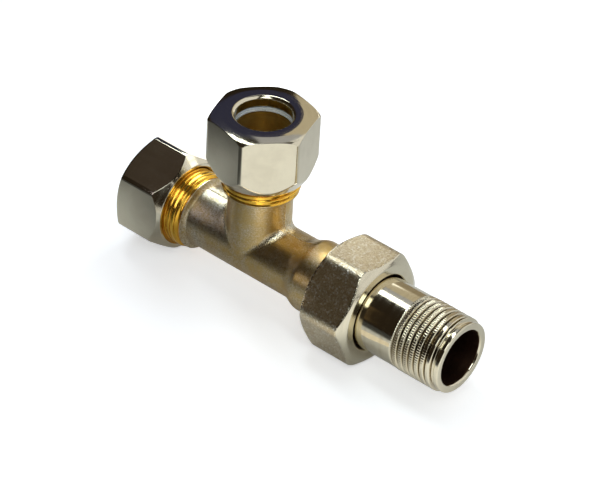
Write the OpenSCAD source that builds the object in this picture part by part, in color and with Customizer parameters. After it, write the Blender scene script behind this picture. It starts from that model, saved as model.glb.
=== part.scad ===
// Lockshield valve for a radiator, in the axial pattern. A forged tee body takes the pipe in a
// compression end on top and the radiator tail in a union on the right. The regulating headwork
// sits in the left neck, in line with the tail, under a blind hex cap.
// Every piece is drawn about the point where the run axis (X) crosses the branch axis (Z).
// Threads are plain cylinders at their crest diameter.

/* [Pipe] */
// Outside diameter of the pipe that the compression end takes
pipe_d = 15; // [12:0.5:18]
// Radial room round the pipe in the body, the cutting ring and the nut
pipe_room = 0.1; // [0.05:0.01:0.3]
// Width of the ledge that the pipe stops against
pipe_ledge = 1.1; // [0.5:0.1:2]
// How far the pipe goes into the body
pipe_depth = 9.5; // [7.5:0.1:11.5]

/* [Forged body] */
// Bore of the chamber along the run
chamber_d = 13.2; // [11:0.1:16]
// Wall of the run round the chamber
run_wall = 2.05; // [1.6:0.05:2.5]
// Wall of the branch round its waterway
branch_wall = 2.25; // [1.8:0.05:2.8]
// Fillet in each crotch between run and branch
crotch_r = 2.5; // [1.5:0.1:4]
// From the crossing to the end of the top neck and of the left neck
neck_reach = 31.5; // [26:0.5:38]
// Length of the thread on the top and left necks
neck_thread_l = 12; // [10:0.1:14.5]
// Wall between the mouth of the ring cone and the thread crest
neck_wall = 1.8; // [1.4:0.05:2.2]
// Length of the flare from a plain tube up to the top or left neck
flare_l = 4; // [3:0.1:5]
// Length of the flare up to the collar of the right neck
collar_flare_l = 5; // [4:0.1:6]

/* [Valve seat] */
// Bore of the seat
seat_d = 9; // [7.5:0.1:10]
// Length of the seat bore
seat_l = 3; // [2:0.1:4]
// Gap between seat and washer as the valve is drawn, part open
seat_gap = 2; // [1.5:0.1:2.4]
// Further lift from there to fully open
open_lift = 2.5; // [2:0.1:3]

/* [Compression joint] */
// Length of the cone in the neck that the ring is pressed into
ring_cone_l = 6.1; // [5:0.1:7.5]
// Half angle of that cone
ring_cone_angle = 12; // [10:0.5:14]
// Length of the cutting ring
ring_l = 10.2; // [9:0.1:12.5]
// Thickest wall of the cutting ring
ring_wall = 1.65; // [1.4:0.05:2]
// How deep the nose of the ring sits in the cone
ring_bite = 3.3; // [2.7:0.1:4]
// Length of the compression nut
nut_l = 17.7; // [14.5:0.1:21]
// Thickness of the nut round the pipe, above its inner cone
nut_top_t = 2.94; // [2.4:0.02:3.6]
// Wall between nut thread and flats, also for the cap
nut_wall = 2.25; // [1.8:0.05:2.7]
// Fall of the nut's domed top from its flat ring to its corners
nut_crown = 1.15; // [0.8:0.05:1.4]
// Angle of a corner of the nut about the branch axis
nut_turn = 48.2; // [0:0.1:60]

/* [Shield cap] */
// Length of the cap
cap_l = 15.9; // [13.5:0.1:19]
// Thickness of the closed end
cap_end_t = 2.3; // [1.8:0.1:3]
// Angle of a corner of the cap about the run axis
cap_turn = 25.5; // [0:0.1:60]
// Thickness of the cap gasket
cap_gasket_t = 1.5; // [1:0.1:2]

/* [Headwork] */
// Wall of the left neck round the bonnet thread
bonnet_neck_wall = 2.7; // [2.2:0.05:3.2]
// Length of the bonnet thread
bonnet_thread_l = 10.5; // [8.5:0.1:12.5]
// Length of the plain nose beyond that thread
bonnet_nose_l = 8; // [6.5:0.1:9.5]
// Thickness of the round flange
bonnet_flange_t = 1.2; // [1:0.1:1.6]
// Size across flats of the hex on the bonnet
bonnet_af = 13; // [11.5:0.1:14]
// Height of that hex
bonnet_hex_h = 2; // [1.5:0.1:2.4]
// Thickness of the gasket under the flange
bonnet_gasket_t = 0.8; // [0.5:0.1:1.2]
// Diameter of the spindle where it is sealed
spindle_d = 7.6; // [7:0.1:8.4]
// Crest diameter of the spindle thread
spindle_thread_d = 10; // [9.2:0.1:10.6]
// Length of the spindle thread
spindle_thread_l = 4.5; // [3.5:0.1:5.5]
// Hex socket for the key, across flats
key_af = 5; // [4:0.1:5.5]
// Depth of that socket
key_depth = 4; // [3:0.1:4.8]
// Section of the spindle O-rings
o_ring_t = 1.5; // [1.2:0.1:1.8]
// Thickness of the valve disc
disc_t = 5; // [4.2:0.1:6]
// Thickness of the seat washer
washer_t = 2; // [1.6:0.1:2.4]
// Shank diameter of the washer screw
screw_d = 3; // [2.5:0.1:3.6]

/* [Union] */
// From the crossing to the face that the tail seals against
union_reach = 33.8; // [31:0.1:41]
// Radial room between the tail's collar and the crest of the union thread
union_room = 1.2; // [0.8:0.05:1.6]
// Length of the union thread
union_thread_l = 5.6; // [4.6:0.1:6.8]
// Diameter of the collar behind the union thread
collar_d = 20.4; // [19:0.1:22]
// Even length of that collar
collar_l = 6.6; // [5.5:0.1:8]
// Thickness of the union gasket
union_gasket_t = 2; // [1.5:0.1:2.5]
// Length of the union nut
union_nut_l = 15.1; // [13:0.1:18.2]
// Thickness of its front wall
union_nut_face_t = 3.5; // [2.8:0.1:4.2]
// Wall between its thread and its flats
union_nut_wall = 1.25; // [1:0.05:1.6]
// Angle of a corner of the union nut about the run axis
union_nut_turn = 54.5; // [0:0.1:60]

/* [Tail] */
// Bore of the tail
tail_bore_d = 15.6; // [13:0.1:18]
// Thickness of the collar that the union nut pulls on
tail_collar_t = 3.14; // [2.6:0.02:3.8]
// How far that collar stands out from the radiator thread
tail_step = 1.54; // [1.3:0.02:1.9]
// Crest diameter of the radiator thread
tail_thread_d = 20.955; // [20.5:0.005:26.5]
// Length of the radiator thread
tail_thread_l = 13.2; // [10.5:0.1:16]
// Bare length of tail between the union nut and that thread
tail_shank_l = 11.7; // [9.4:0.1:14]
// How much thinner the bare length is, on the radius
tail_relief = 0.18; // [0.17:0.01:0.4]
// Length of the tapered lip at the end
tail_lip_l = 1.9; // [1.5:0.1:2.4]
// How much the lip tapers, on the radius
tail_lip_drop = 0.6; // [0.4:0.05:1]
// Rounding of the lip's outer edge
tail_lip_round = 0.8; // [0.4:0.1:1]

/* [Clearances] */
// Radial room between a thread and the bore it turns in
thread_fit = 0.05; // [0.03:0.01:0.1]
// Radial room of the sealed spindle in its bore
slide_fit = 0.05; // [0.03:0.01:0.1]
// Room between pieces that pass without touching
free_room = 0.3; // [0.2:0.05:0.4]

/* [Hidden] */
$fn = 96;

eps = 0.01;
beyond = 5;
thread_chamfer = 0.8;
corner_break = 0.3;
flare_steps = 8;
round_steps = 6;
crown_steps = 5;

// Finishes
plated = [0.74, 0.72, 0.66];
brass = [0.80, 0.62, 0.28];
zinc = [0.72, 0.76, 0.80];
rubber = [0.10, 0.10, 0.11];
fibre = [0.45, 0.32, 0.24];

// Radii of the tubes and necks
pipe_r = pipe_d / 2 + pipe_room;
water_r = pipe_r - pipe_ledge;
chamber_r = chamber_d / 2;
run_r = max(chamber_r, water_r) + run_wall;
branch_r = water_r + branch_wall;
cone_mouth_r = pipe_r + ring_cone_l * tan(ring_cone_angle);
neck_r = cone_mouth_r + neck_wall;
neck_root_r = neck_r - 0.7;
neck_bore_r = neck_r + thread_fit;
collar_r = collar_d / 2;
tail_thread_r = tail_thread_d / 2;
tail_collar_r = tail_thread_r + tail_step;
union_r = tail_collar_r + union_room;
union_bore_r = union_r + thread_fit;

// Places along the branch, from the crossing
pipe_stop_z = neck_reach - pipe_depth;
neck_start = neck_reach - neck_thread_l;
ring_nose_z = neck_reach - ring_bite;
ring_top_z = ring_nose_z + ring_l;
ring_lip = 0.6;
nut_inner_z = ring_top_z + ring_lip;
nut_top_z = nut_inner_z + nut_top_t;
nut_mouth_z = nut_top_z - nut_l;

// Cutting ring and its seats
ring_outer_r = pipe_r + ring_wall;
ring_gap = 0.1;
ring_cone_gap = 0.25;
ring_lead = 0.2;
ring_lead_l = 1.4;
ring_shoulder_z = neck_reach + 0.6;
ring_room_r = ring_outer_r + free_room;
function cone_r(z) = pipe_r + (z - neck_reach + ring_cone_l) * tan(ring_cone_angle);

// Hex nut and cap
nut_af_r = neck_bore_r + nut_wall;
nut_mouth_r = neck_r + 1.6;
nut_mouth_angle = 31;
nut_flat_r = pipe_r + 1.7;
nut_lip = 0.66;
cap_mouth_angle = 40;
cap_face_r = nut_af_r - 1;
face_angle = 60;
mouth_countersink = 0.75;

// Places along the run to the left, measured outwards from the crossing
flange_in = neck_reach + bonnet_gasket_t;
flange_out = flange_in + bonnet_flange_t;
bonnet_out = flange_out + bonnet_hex_h;
cap_step = flange_out + cap_gasket_t;
spindle_recess = 0.5;
spindle_out = bonnet_out - spindle_recess;
cap_head_room = 0.5;
cap_floor = spindle_out + open_lift + cap_head_room;
cap_out = cap_floor + cap_end_t;
cap_mouth = cap_out - cap_l;
bonnet_thread_in = neck_reach - bonnet_thread_l;
bonnet_in = bonnet_thread_in - bonnet_nose_l;

// Headwork radii
bonnet_r = neck_r - bonnet_neck_wall;
bonnet_nose_r = chamber_r - 0.15;
bonnet_flange_r = neck_r - 1;
bonnet_corner_r = bonnet_af / sqrt(3);
cap_gasket_in_r = bonnet_corner_r + free_room;
cap_gasket_out_r = neck_bore_r - free_room;
spindle_r = spindle_d / 2;
spindle_bore_r = spindle_r + slide_fit;
spindle_thread_r = spindle_thread_d / 2;
spindle_thread_bore_r = spindle_thread_r + thread_fit;
spindle_step = bonnet_in + spindle_thread_l + seat_gap + open_lift - 0.4;
spindle_thread_out = spindle_step - open_lift - 0.1;
spindle_thread_in = spindle_thread_out - spindle_thread_l;
o_ring_r = o_ring_t / 2;
o_ring_mid_r = spindle_bore_r - o_ring_r - 0.02;
o_ring_groove_w = o_ring_t + 0.3;
inner_o_ring_at = spindle_thread_out + 6;
outer_o_ring_at = inner_o_ring_at + o_ring_t + 2;

// Disc, washer and screw, measured along +X from the crossing
seat_x = water_r + 0.5;
washer_face = seat_x - seat_gap;
disc_face = washer_face - washer_t;
disc_back = disc_face - disc_t;
disc_r = chamber_r - 2 * free_room - 0.1;
washer_r = disc_r - 0.2;
button_r = 2.9;
button_t = 1;
button_room = 0.1;
socket_r = button_r + 0.15;
socket_l = 2.2;
clip_back = disc_back + 0.3;
clip_w = 0.6;
clip_out_r = socket_r + 0.55;
clip_in_r = 2.15;
neck_of_button_r = 2;
stem_r = 3.2;
stem_end = disc_back - 0.3;
button_back = disc_back + socket_l - button_room - button_t;
screw_r = screw_d / 2;
screw_l = washer_t + 2.5;
screw_head_r = 2.8;
screw_head_t = 1.4;
screw_slot_w = 0.8;
screw_slot_d = 0.7;

// Union, along +X from the crossing
union_back = union_reach - union_thread_l;
collar_end = union_back - (union_r - collar_r) * tan(20);
collar_start = collar_end - collar_l;
tail_collar_x = union_reach + union_gasket_t;
tail_collar_end = tail_collar_x + tail_collar_t;
union_nut_front = tail_collar_end + union_nut_face_t;
union_nut_back = union_nut_front - union_nut_l;
union_af_r = union_bore_r + union_nut_wall;
union_front_r = union_af_r - 1.2;
union_back_r = union_af_r - 0.5;
union_gasket_r = union_r - 1.3;

// Tail
tail_bore_r = tail_bore_d / 2;
tail_shank_r = tail_thread_r - tail_relief;
tail_hole_r = tail_thread_r + free_room;
tail_thread_x = union_nut_front + tail_shank_l;
tail_lip_x = tail_thread_x + tail_thread_l;
tail_end_x = tail_lip_x + tail_lip_l;
tail_lip_r = tail_thread_r - tail_lip_drop;
water_flare_x = union_back - 3;

// Lays a shape that is drawn along Z down along the run
module along_run() {
    rotate([90, 0, 90]) children();
}

// Lays a shape that is drawn along Z outwards along the left neck
module along_left() {
    mirror([1, 0, 0]) along_run() children();
}

// Sets the crossing below the origin, which is the middle of the pipe's stop
module in_frame() {
    translate([0, 0, -pipe_stop_z]) children();
}

// A solid of revolution from [radius, height] points
module turned(points) {
    rotate_extrude() polygon(points);
}

// A smooth flare from one radius to another between two heights
function flare(r0, r1, z0, z1) =
    [for (i = [0:flare_steps])
        let (t = i / flare_steps)
        [r0 + (r1 - r0) * (1 - cos(180 * t)) / 2, z0 + (z1 - z0) * t]];

// The outer edge of a solid of revolution, rounded where it meets the end face at z1
function round_edge(r1, z1, edge_r) =
    [for (i = [0:round_steps])
        let (a = 90 * i / round_steps)
        [r1 - edge_r * (1 - cos(a)), z1 - edge_r * (1 - sin(a))]];

// The domed end of a solid of revolution, which falls with the square of the way out from r0 to r1
function crown(r0, r1, z1, fall) =
    [for (i = [0:crown_steps])
        let (t = i / crown_steps)
        [r1 - (r1 - r0) * t, z1 - fall * (1 - t) * (1 - t)]];

// A round bore from one height to another
module bore(r, z0, z1) {
    translate([0, 0, z0]) cylinder(r = r, h = z1 - z0);
}

// A ring of square section
module ring(r_in, r_out, z0, z1) {
    turned([[r_in, z0], [r_out, z0], [r_out, z1], [r_in, z1]]);
}

// The outside of a hex nut: a hex bar turned to a cone at each end, its corners just broken.
// Each angle is that of the cone from the axis, and each radius is where it meets the end face.
module hex_bar(af_r, turn, z0, z1, r0, angle0, r1, angle1) {
    corner_r = 2 * af_r / sqrt(3);
    top_r = corner_r - corner_break;
    intersection() {
        translate([0, 0, z0]) rotate(turn) cylinder(r = corner_r, h = z1 - z0, $fn = 6);
        turned([
            [0, z0],
            [r0, z0],
            [top_r, z0 + (top_r - r0) / tan(angle0)],
            [top_r, z1 - (top_r - r1) / tan(angle1)],
            [r1, z1],
            [0, z1]
        ]);
    }
}

// One rounded crotch of the forging: a bend that runs from the run up into the branch
module crotch() {
    sink = 0.15;
    tube_r = min(run_r, branch_r) - sink;
    bend_r = tube_r + crotch_r;
    translate([branch_r + crotch_r - sink / 3, 0, run_r + crotch_r - sink / 3])
        rotate([90, 0, 0])
        rotate(180)
        rotate_extrude(angle = 90)
        translate([bend_r, 0])
        circle(r = tube_r);
}

module run_outside() {
    along_run() turned(concat(
        [
            [0, -neck_reach],
            [neck_r - thread_chamfer, -neck_reach],
            [neck_r, -neck_reach + thread_chamfer],
            [neck_r, -neck_start - thread_chamfer]
        ],
        flare(neck_root_r, run_r, -neck_start, -neck_start + flare_l),
        flare(run_r, collar_r, collar_start - collar_flare_l, collar_start),
        [
            [collar_r, collar_end],
            [union_r, union_back],
            [union_r, union_reach - thread_chamfer],
            [union_r - thread_chamfer, union_reach],
            [0, union_reach]
        ]));
}

module branch_outside() {
    turned(concat(
        [[0, 0], [branch_r, 0]],
        flare(branch_r, neck_root_r, neck_start - flare_l, neck_start),
        [
            [neck_r, neck_start + thread_chamfer],
            [neck_r, neck_reach - thread_chamfer],
            [neck_r - thread_chamfer, neck_reach],
            [0, neck_reach]
        ]));
}

module run_waterway() {
    along_run() {
        bore(bonnet_r + thread_fit, -neck_reach - beyond, -bonnet_thread_in + free_room);
        bore(chamber_r, -neck_reach, seat_x);
        bore(seat_d / 2, 0, seat_x + seat_l + eps);
        turned([
            [0, seat_x + seat_l],
            [chamber_r, seat_x + seat_l],
            [chamber_r, water_flare_x],
            [tail_bore_r, water_flare_x + 3],
            [tail_bore_r, union_reach + beyond],
            [0, union_reach + beyond]
        ]);
    }
}

module branch_waterway() {
    bore(water_r, 0, neck_reach);
    bore(pipe_r, pipe_stop_z, neck_reach + beyond);
    turned([
        [0, neck_reach - ring_cone_l],
        [pipe_r, neck_reach - ring_cone_l],
        [cone_mouth_r, neck_reach],
        [cone_mouth_r, neck_reach + beyond],
        [0, neck_reach + beyond]
    ]);
}

module valve_body() {
    color(plated) in_frame() difference() {
        union() {
            run_outside();
            branch_outside();
            crotch();
            mirror([1, 0, 0]) crotch();
        }
        run_waterway();
        branch_waterway();
    }
}

module bonnet() {
    color(brass) in_frame() along_left() difference() {
        union() {
            turned([
                [0, bonnet_in],
                [bonnet_nose_r, bonnet_in],
                [bonnet_nose_r, bonnet_thread_in],
                [bonnet_r, bonnet_thread_in],
                [bonnet_r, flange_in],
                [bonnet_flange_r, flange_in],
                [bonnet_flange_r, flange_out],
                [0, flange_out]
            ]);
            translate([0, 0, flange_out - eps])
                cylinder(r = bonnet_corner_r, h = bonnet_hex_h + eps, $fn = 6);
        }
        bore(spindle_bore_r, bonnet_in - beyond, bonnet_out + beyond);
        bore(spindle_thread_bore_r, bonnet_in - beyond, spindle_step);
    }
}

module bonnet_gasket() {
    color(fibre) in_frame() along_left()
        ring(bonnet_r + free_room, bonnet_flange_r, neck_reach, flange_in);
}

module regulating_spindle() {
    groove_r = o_ring_mid_r - o_ring_r;
    color(brass) in_frame() along_left() difference() {
        turned([
            [0, -button_back - button_t],
            [button_r, -button_back - button_t],
            [button_r, -button_back],
            [neck_of_button_r, -button_back],
            [neck_of_button_r, -stem_end],
            [stem_r, -stem_end],
            [stem_r, spindle_thread_in],
            [spindle_thread_r, spindle_thread_in],
            [spindle_thread_r, spindle_thread_out],
            [spindle_r, spindle_thread_out],
            [spindle_r, spindle_out],
            [0, spindle_out]
        ]);
        for (at = [inner_o_ring_at, outer_o_ring_at])
            ring(groove_r, spindle_r + beyond, at - o_ring_groove_w / 2, at + o_ring_groove_w / 2);
        translate([0, 0, spindle_out - key_depth])
            cylinder(r = key_af / sqrt(3), h = key_depth + beyond, $fn = 6);
    }
}

module o_ring(at) {
    color(rubber) in_frame() along_left()
        translate([0, 0, at])
        rotate_extrude()
        translate([o_ring_mid_r, 0])
        circle(r = o_ring_r);
}

module inner_o_ring() {
    o_ring(inner_o_ring_at);
}

module outer_o_ring() {
    o_ring(outer_o_ring_at);
}

module valve_disc() {
    color(brass) in_frame() along_run() difference() {
        bore(disc_r, disc_back, disc_face);
        bore(socket_r, disc_back - beyond, disc_back + socket_l);
        bore(clip_out_r, clip_back, clip_back + clip_w);
        bore(screw_r + thread_fit, disc_face - screw_l + washer_t, disc_face + beyond);
    }
}

module disc_clip() {
    gap_w = 1.2;
    play = 0.03;
    color(zinc) in_frame() along_run() difference() {
        ring(clip_in_r, clip_out_r - play, clip_back + play, clip_back + clip_w - play);
        translate([0, -gap_w / 2, clip_back])
            cube([clip_out_r + beyond, gap_w, clip_w]);
    }
}

module seat_washer() {
    color(rubber) in_frame() along_run()
        ring(screw_r + thread_fit, washer_r, disc_face, washer_face);
}

module washer_screw() {
    color(brass) in_frame() along_run() difference() {
        union() {
            bore(screw_r, washer_face - screw_l, washer_face + eps);
            bore(screw_head_r, washer_face, washer_face + screw_head_t);
        }
        translate([-screw_head_r - beyond, -screw_slot_w / 2, washer_face + screw_head_t - screw_slot_d])
            cube([2 * screw_head_r + 2 * beyond, screw_slot_w, screw_slot_d + beyond]);
    }
}

module lockshield_cap() {
    color(plated) in_frame() along_left() difference() {
        hex_bar(nut_af_r, cap_turn, cap_mouth, cap_out,
            nut_mouth_r, cap_mouth_angle, cap_face_r, face_angle);
        bore(neck_bore_r, cap_mouth - beyond, cap_step);
        bore(cap_gasket_in_r, cap_step - eps, cap_floor);
        turned([
            [0, cap_mouth - eps],
            [neck_bore_r + mouth_countersink, cap_mouth - eps],
            [neck_bore_r, cap_mouth + mouth_countersink],
            [0, cap_mouth + mouth_countersink]
        ]);
    }
}

module cap_gasket() {
    color(fibre) in_frame() along_left()
        ring(cap_gasket_in_r, cap_gasket_out_r, flange_out, cap_step);
}

module cutting_ring() {
    cone_top = ring_top_z - (ring_outer_r - pipe_r) + ring_lip - ring_gap * sqrt(2);
    color(zinc) in_frame() turned([
        [pipe_r, ring_nose_z],
        [cone_r(ring_nose_z) - ring_cone_gap, ring_nose_z],
        [cone_r(ring_shoulder_z) - ring_cone_gap, ring_shoulder_z],
        [ring_outer_r, ring_shoulder_z],
        [ring_outer_r, cone_top],
        [pipe_r + ring_lip - ring_gap * sqrt(2), ring_top_z],
        [pipe_r + ring_lead, ring_top_z],
        [pipe_r, ring_top_z - ring_lead_l]
    ]);
}

module compression_nut() {
    thread_end_z = ring_shoulder_z + 0.9;
    corner_r = 2 * nut_af_r / sqrt(3);
    color(plated) in_frame() difference() {
        intersection() {
            hex_bar(nut_af_r, nut_turn, nut_mouth_z, nut_top_z,
                nut_mouth_r, nut_mouth_angle, corner_r - corner_break - eps, face_angle);
            turned(concat(
                [[0, nut_mouth_z - eps], [corner_r, nut_mouth_z - eps]],
                crown(nut_flat_r, corner_r, nut_top_z, nut_crown),
                [[0, nut_top_z]]));
        }
        turned([
            [0, nut_mouth_z - eps],
            [neck_bore_r + mouth_countersink, nut_mouth_z - eps],
            [neck_bore_r, nut_mouth_z + mouth_countersink],
            [neck_bore_r, thread_end_z],
            [ring_room_r, thread_end_z],
            [ring_room_r, nut_inner_z - (ring_room_r - pipe_r)],
            [pipe_r, nut_inner_z],
            [pipe_r, nut_top_z - nut_lip],
            [pipe_r + nut_lip, nut_top_z + eps],
            [0, nut_top_z + eps]
        ]);
    }
}

module union_gasket() {
    color(fibre) in_frame() along_run()
        ring(tail_bore_r + free_room, union_gasket_r, union_reach, tail_collar_x);
}

module tail_piece() {
    color(plated) in_frame() along_run() turned(concat(
        [
            [tail_bore_r, tail_collar_x],
            [tail_collar_r, tail_collar_x],
            [tail_collar_r, tail_collar_end],
            [tail_shank_r, tail_collar_end],
            [tail_shank_r, tail_thread_x - tail_relief],
            [tail_thread_r, tail_thread_x],
            [tail_thread_r, tail_lip_x]
        ],
        round_edge(tail_lip_r, tail_end_x, tail_lip_round),
        [[tail_bore_r, tail_end_x]]));
}

module union_nut() {
    color(plated) in_frame() along_run() difference() {
        hex_bar(union_af_r, union_nut_turn, union_nut_back, union_nut_front,
            union_back_r, face_angle, union_front_r, face_angle);
        bore(union_bore_r, union_nut_back - beyond, tail_collar_end);
        bore(tail_hole_r, union_nut_back, union_nut_front + beyond);
    }
}

valve_body();
bonnet();
bonnet_gasket();
regulating_spindle();
inner_o_ring();
outer_o_ring();
valve_disc();
disc_clip();
seat_washer();
washer_screw();
lockshield_cap();
cap_gasket();
cutting_ring();
compression_nut();
union_gasket();
tail_piece();
union_nut();
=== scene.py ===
# %% [markdown]
# # A lockshield valve, dressed for its photograph
# The valve is a forged tee. A pipe comes in from the top through a compression nut, a blind hex cap
# hides the regulating spindle on the left, and a union nut holds the radiator tail on the right.
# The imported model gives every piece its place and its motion. This lesson builds the skin that is
# seen: each piece is worked out in millimetres about the point where the two axes of the tee cross.

# %% Load the frame
import math

import bmesh
import bpy
import numpy as np
from mathutils import Matrix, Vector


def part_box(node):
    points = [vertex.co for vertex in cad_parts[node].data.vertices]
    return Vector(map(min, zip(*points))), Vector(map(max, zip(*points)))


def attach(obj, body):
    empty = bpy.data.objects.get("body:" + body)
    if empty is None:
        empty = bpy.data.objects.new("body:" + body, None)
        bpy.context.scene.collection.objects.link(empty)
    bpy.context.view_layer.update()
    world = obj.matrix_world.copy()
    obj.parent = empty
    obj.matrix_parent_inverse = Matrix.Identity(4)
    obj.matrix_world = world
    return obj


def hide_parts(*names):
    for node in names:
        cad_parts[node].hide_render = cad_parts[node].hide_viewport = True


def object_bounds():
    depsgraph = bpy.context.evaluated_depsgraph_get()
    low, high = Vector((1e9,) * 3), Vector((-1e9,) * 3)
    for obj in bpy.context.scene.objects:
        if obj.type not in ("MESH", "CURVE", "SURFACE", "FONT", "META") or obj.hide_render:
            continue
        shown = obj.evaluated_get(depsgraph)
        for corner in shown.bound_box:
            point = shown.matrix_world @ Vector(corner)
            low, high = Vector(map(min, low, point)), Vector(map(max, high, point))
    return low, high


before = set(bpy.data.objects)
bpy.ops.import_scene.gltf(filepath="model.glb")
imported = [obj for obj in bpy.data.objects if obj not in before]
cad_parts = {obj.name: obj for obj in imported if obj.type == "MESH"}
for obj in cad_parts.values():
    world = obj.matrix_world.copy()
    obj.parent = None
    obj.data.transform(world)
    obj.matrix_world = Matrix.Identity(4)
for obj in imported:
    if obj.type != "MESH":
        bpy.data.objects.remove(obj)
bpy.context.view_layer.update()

scene = bpy.context.scene
MM = 0.001
tail_low, tail_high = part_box("tail_piece")
crossing_z = (tail_low[2] + tail_high[2]) / 2 / MM


def span(node, axis):
    """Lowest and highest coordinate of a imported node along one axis, in millimetres from the crossing."""
    shift = crossing_z if axis == 2 else 0.0
    return [corner[axis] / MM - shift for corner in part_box(node)]


# %% [markdown]
# ## From arrays to a mesh
# Nearly every piece of a valve is turned or forged, so its skin is a grid: one direction runs along
# a profile, the other round an axis. One function takes any number of such grids, joins them, welds
# the seams and hands the result to the body it rides on. A number per vertex, `edge`, is kept along:
# it is 1 on a softened corner and on the seam of the tee, where handling polishes the metal, and on
# the crotch, where it is partly that polish and partly a painted highlight; it is -1 at the bottom of
# a thread groove, where the groove is painted darker as shade, and 0 on the open faces.

# %% Grids into pieces
WELD_REACH = 0.002


def grid_quads(rows, columns, start, wrap_rows, wrap_columns):
    """Corner numbers of each cell of a grid; a wrapped direction joins its last line to its first."""
    index = start + np.arange(rows * columns).reshape(rows, columns)
    if wrap_rows:
        index = np.concatenate([index, index[:1]], axis=0)
    if wrap_columns:
        index = np.concatenate([index, index[:, :1]], axis=1)
    cells = [index[:-1, :-1], index[1:, :-1], index[1:, 1:], index[:-1, 1:]]
    return np.stack(cells, axis=-1)


def widen(values, rows, columns):
    """One number for all, one for each row or one for each point, brought to a full grid."""
    values = np.asarray(values, float)
    if values.ndim == 1:
        values = values[:, None]
    return np.broadcast_to(values, (rows, columns))


def to_metres(points):
    """Points in millimetres about the crossing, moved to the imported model's frame and its metres."""
    return (np.asarray(points, float) + [0.0, 0.0, crossing_z]) * MM


def add_piece(name, patches, finishes, body, node):
    """Joins grids of points, in millimetres about the crossing, into one closed mesh in metres.
    A patch holds points (rows, columns, 3), a finish number for each row and edge values."""
    points, quads, finish, edge = [], [], [], []
    start = 0
    for patch in patches:
        rows, columns = patch["points"].shape[:2]
        cells = grid_quads(rows, columns, start, patch["wrap_rows"], patch["wrap_columns"])
        points.append(patch["points"].reshape(-1, 3))
        quads.append(cells.reshape(-1, 4))
        row_finish = np.asarray(patch["finish"])[: cells.shape[0]]
        finish.append(np.repeat(row_finish, cells.shape[1]))
        edge.append(widen(patch["edge"], rows, columns).ravel())
        start += rows * columns
    points = to_metres(np.concatenate(points))
    quads = np.concatenate(quads)
    mesh = bpy.data.meshes.new(name)
    mesh.vertices.add(len(points))
    mesh.vertices.foreach_set("co", points.astype(np.float32).ravel())
    mesh.loops.add(quads.size)
    mesh.loops.foreach_set("vertex_index", quads.astype(np.int32).ravel())
    mesh.polygons.add(len(quads))
    mesh.polygons.foreach_set("loop_start", np.arange(0, quads.size, 4, dtype=np.int32))
    mesh.polygons.foreach_set("material_index", np.concatenate(finish).astype(np.int32))
    mesh.polygons.foreach_set("use_smooth", np.ones(len(quads), dtype=bool))
    mesh.update(calc_edges=True)
    mark = mesh.attributes.new("edge", "FLOAT", "POINT")
    mark.data.foreach_set("value", np.concatenate(edge).astype(np.float32))
    weld = bmesh.new()
    weld.from_mesh(mesh)
    bmesh.ops.remove_doubles(weld, verts=weld.verts, dist=WELD_REACH * MM)
    bmesh.ops.recalc_face_normals(weld, faces=weld.faces)
    open_edges = sum(not e.is_manifold for e in weld.edges)
    triangles = sum(len(f.verts) - 2 for f in weld.faces)
    weld.to_mesh(mesh)
    weld.free()
    for item in finishes:
        mesh.materials.append(item)
    piece = bpy.data.objects.new(name, mesh)
    scene.collection.objects.link(piece)
    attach(piece, body)
    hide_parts(node)
    print(name, "triangles", triangles, "open edges", open_edges)


print("corners of the first cell of a grid", grid_quads(3, 4, 0, False, True)[0, 0].tolist())

# %% [markdown]
# ## Soft corners
# No machined corner is perfectly sharp: a real edge is a small curve that catches the light. The
# profile is therefore written as its sharp corners, each with the length over which it is softened,
# and every corner becomes a short quadratic curve. A row just outside each curve keeps the flats
# flat when the shading is smooth. A corner's place may be a whole array, one value for each angle.

# %% Profiles
CORNER_STEPS = 5
GUARD = 1.7
LARGEST_SHARE = 0.45


def soften(corners):
    """Turns sharp corners (along, radius, softening, finish) into rows of (along, radius, finish, edge).
    A corner p between points a and b on its two sides becomes (1-t)^2 a + 2t(1-t) p + t^2 b."""
    wide = max(np.size(value) for corner in corners for value in corner[:2])
    sharp = np.empty((len(corners), wide, 2))
    for k, corner in enumerate(corners):
        sharp[k, :, 0] = corner[0]
        sharp[k, :, 1] = corner[1]
    rows, finish, edge = [sharp[0]], [corners[0][3]], [0.0]
    t = np.linspace(0, 1, CORNER_STEPS)[:, None, None]
    half = CORNER_STEPS // 2 + 1
    for k in range(1, len(corners) - 1):
        here, reach = sharp[k], corners[k][2]
        ends = []
        for other in (sharp[k - 1], sharp[k + 1]):
            way = other - here
            length = np.maximum(np.linalg.norm(way, axis=-1, keepdims=True), 1e-9)
            for far in (1, GUARD):
                ends.append(here + way * np.minimum(reach * far / length, LARGEST_SHARE * far / GUARD))
        a, a_guard, b, b_guard = ends
        arc = (1 - t) ** 2 * a + 2 * t * (1 - t) * here + t ** 2 * b
        rows += [a_guard, *arc, b_guard]
        finish += [corners[k - 1][3]] * half + [corners[k][3]] * (CORNER_STEPS + 2 - half)
        edge += [0.0] + [1.0] * CORNER_STEPS + [0.0]
    rows.append(sharp[-1])
    finish.append(corners[-1][3])
    edge.append(0.0)
    rows = np.stack(rows)
    return rows[..., 0], rows[..., 1], finish, edge


def plain_rows(along, radius, finish):
    """Rows of a profile that are the same at every angle."""
    return np.asarray(along, float)[:, None], np.asarray(radius, float)[:, None], [finish] * len(along), 0.0


def stack_rows(columns, *blocks):
    """Sets blocks of profile rows one after the other, each widened to the same number of angles."""
    along, radius, edge = [
        np.concatenate([widen(block[k], len(block[2]), columns) for block in blocks]) for k in (0, 1, 3)]
    finish = [number for block in blocks for number in block[2]]
    return along, radius, finish, edge


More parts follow.
